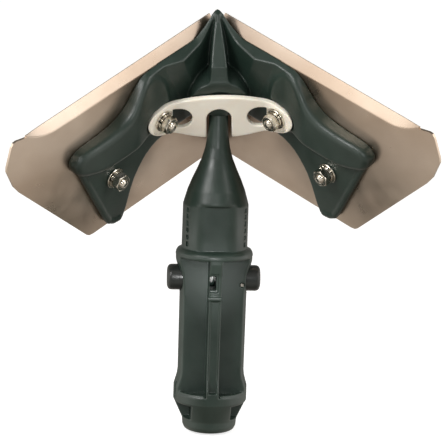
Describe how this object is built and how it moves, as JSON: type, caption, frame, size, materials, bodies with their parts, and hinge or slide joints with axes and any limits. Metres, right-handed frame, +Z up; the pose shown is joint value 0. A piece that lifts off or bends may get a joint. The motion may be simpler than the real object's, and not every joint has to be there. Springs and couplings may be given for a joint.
{
  "type": "inside corner scraper head",
  "caption": "V-shaped inside-corner scraper: two sheet-metal wings bolted to a moulded head that swivels on a ball at the top of a quick-lock pole spigot.",
  "frame": {"origin": "centre of the spigot's bottom end face, on the spigot's axis", "axes": "+Z up the spigot to the ball, -Y the side that the V of the wings opens to, +X towards the right button"},
  "size_m": [0.1762, 0.1165, 0.1866],
  "materials": {
    "moulding": "dark green-grey glass-filled nylon, fine grain with a soft sheen",
    "button": "near-black, soft gloss",
    "steel": "satin stainless sheet, brushed along its length",
    "strip": "ivory nylon",
    "zinc": "bright plated steel"
  },
  "bodies": {
    "handle": {"spigot": "moulding", "button_spring": "zinc", "retaining_pin_left": "zinc", "retaining_pin_right": "zinc"},
    "left_button": {"button_left": "button"},
    "right_button": {"button_right": "button"},
    "ball": {"swivel_ball": "moulding"},
    "head": {"head_body": "moulding", "retainer_strip": "strip", "wing_left": "steel", "wing_right": "steel", "bolt_inner_left": "zinc", "bolt_inner_right": "zinc", "bolt_foot_left": "zinc", "bolt_foot_right": "zinc", "washer_inner_left": "zinc", "washer_inner_right": "zinc", "washer_foot_left": "zinc", "washer_foot_right": "zinc", "lock_washer_inner_left": "zinc", "lock_washer_inner_right": "zinc", "lock_washer_foot_left": "zinc", "lock_washer_foot_right": "zinc", "nut_inner_left": "zinc", "nut_inner_right": "zinc", "nut_foot_left": "zinc", "nut_foot_right": "zinc"}
  },
  "joints": [
    {"name": "left_button_press", "type": "slide", "parent": "handle", "child": "left_button", "axis": [1, 0, 0], "range_m": [0, 0.0068], "stiffness_N_per_m": 400, "springref_m": -0.004, "deforming": ["button_spring"]},
    {"name": "right_button_press", "type": "slide", "parent": "handle", "child": "right_button", "axis": [-1, 0, 0], "range_m": [0, 0.0068], "stiffness_N_per_m": 400, "springref_m": -0.004},
    {"name": "head_twist", "type": "hinge", "parent": "handle", "child": "ball", "pos_m": [0, 0, 0.1487], "axis": [0, 0, 1], "continuous": true},
    {"name": "head_tilt", "type": "hinge", "parent": "ball", "child": "head", "pos_m": [0, 0, 0.1487], "axis": [0.9973, -0.0523, 0.0523], "range_deg": [-30, 15]}
  ]
}
